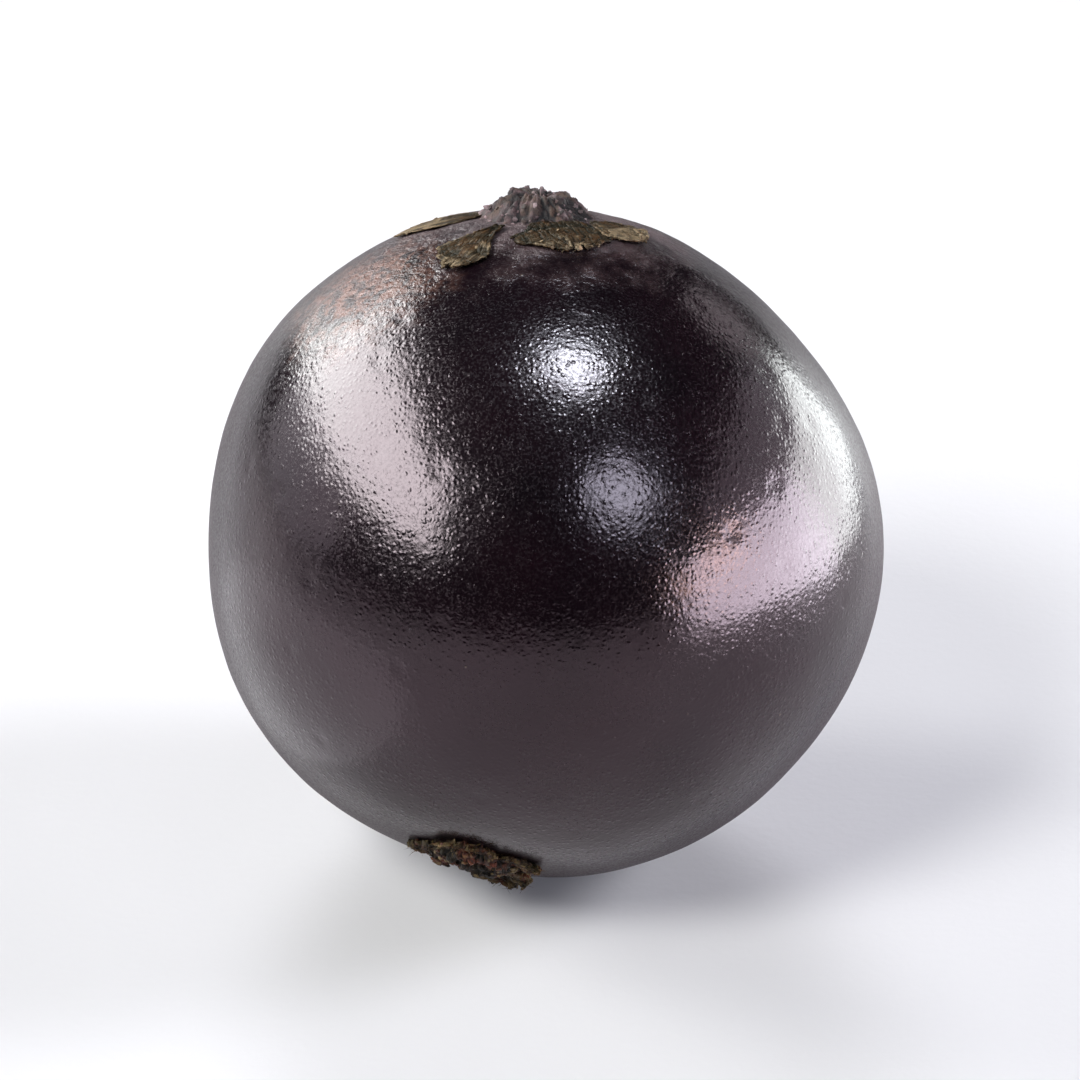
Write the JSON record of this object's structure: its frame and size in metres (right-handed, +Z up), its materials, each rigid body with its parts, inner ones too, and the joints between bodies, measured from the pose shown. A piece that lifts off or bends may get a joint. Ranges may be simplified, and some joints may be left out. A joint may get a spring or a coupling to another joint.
{
  "type": "jaboticaba",
  "caption": "Ripe jaboticaba berry with glossy near-black skin, a woody stem stub with dry bract scales and a crumbled calyx ring, resting on a small flat spot.",
  "frame": {"origin": "centre of the small flat spot that the fruit rests on", "axes": "+Z up, away from the surface it rests on; the blossom end faces -Y and slightly -X, and the stem end leans from +Z towards +Y"},
  "size_m": [0.025, 0.0251, 0.0254],
  "materials": {
    "skin": "gloss",
    "bark": "matte",
    "bract": "matte",
    "calyx": "matte"
  },
  "bodies": {
    "root": {"fruit": "skin", "stem_stub": "bark", "bract_front": "bract", "bract_right": "bract", "bract_front_left": "bract", "bract_left": "bract", "calyx_ring": "calyx", "sepal_upper": "calyx", "sepal_right": "calyx", "sepal_lower": "calyx", "sepal_left": "calyx"}
  },
  "joints": []
}
